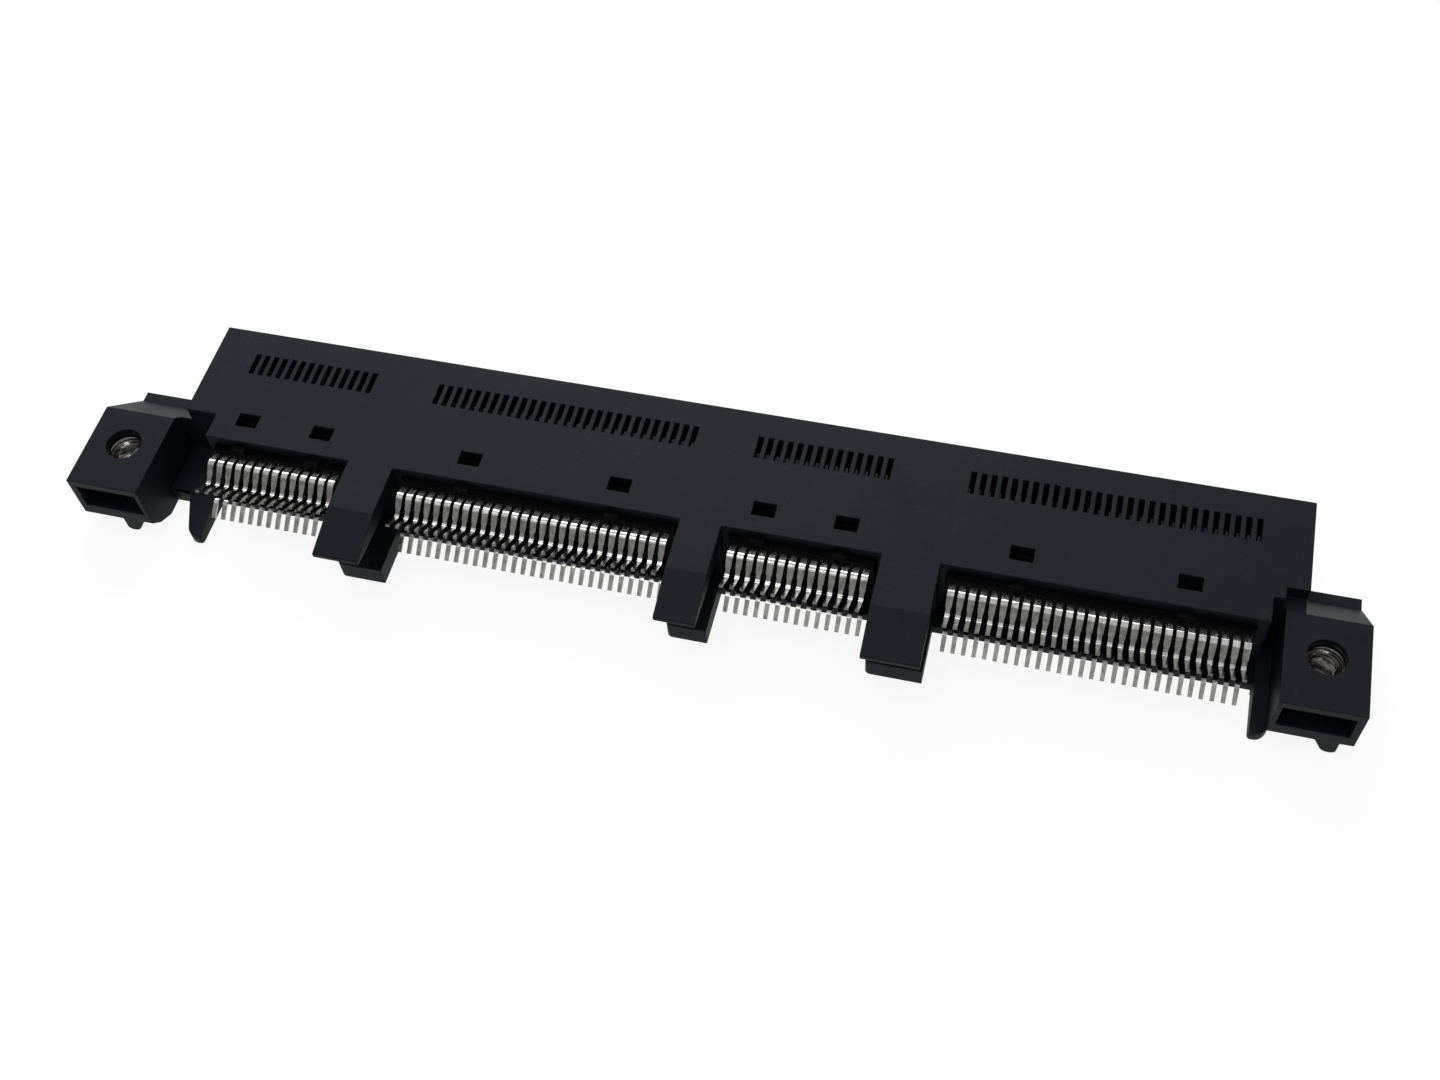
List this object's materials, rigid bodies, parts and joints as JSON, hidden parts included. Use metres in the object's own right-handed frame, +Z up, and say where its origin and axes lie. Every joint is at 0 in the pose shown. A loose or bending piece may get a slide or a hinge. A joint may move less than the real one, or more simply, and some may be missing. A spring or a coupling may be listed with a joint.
{
  "type": "board-to-board connector",
  "caption": "Straddle-mount edge connector that joins the edges of two circuit boards, with a card slot, key ribs, solder tails and screw-down end blocks.",
  "frame": {"origin": "middle of the bounding box's footprint, on the surface that the connector lies on", "axes": "+X along the contact rows, +Y out of the mating face that takes the card, -Y towards the board with the solder tails, +Z up"},
  "size_m": [0.0764, 0.0148, 0.0056],
  "materials": {
    "black_plastic": "matte, glass-filled",
    "wafer_and_contacts": "plastic bars with tin-plated contacts",
    "insert_steel": "plated"
  },
  "bodies": {
    "root": {"housing": "black_plastic", "upper_wafer_1": "wafer_and_contacts", "upper_wafer_2": "wafer_and_contacts", "upper_wafer_3": "wafer_and_contacts", "upper_wafer_4": "wafer_and_contacts", "lower_wafer_1": "wafer_and_contacts", "lower_wafer_2": "wafer_and_contacts", "lower_wafer_3": "wafer_and_contacts", "lower_wafer_4": "wafer_and_contacts", "left_insert": "insert_steel", "right_insert": "insert_steel"}
  },
  "joints": []
}
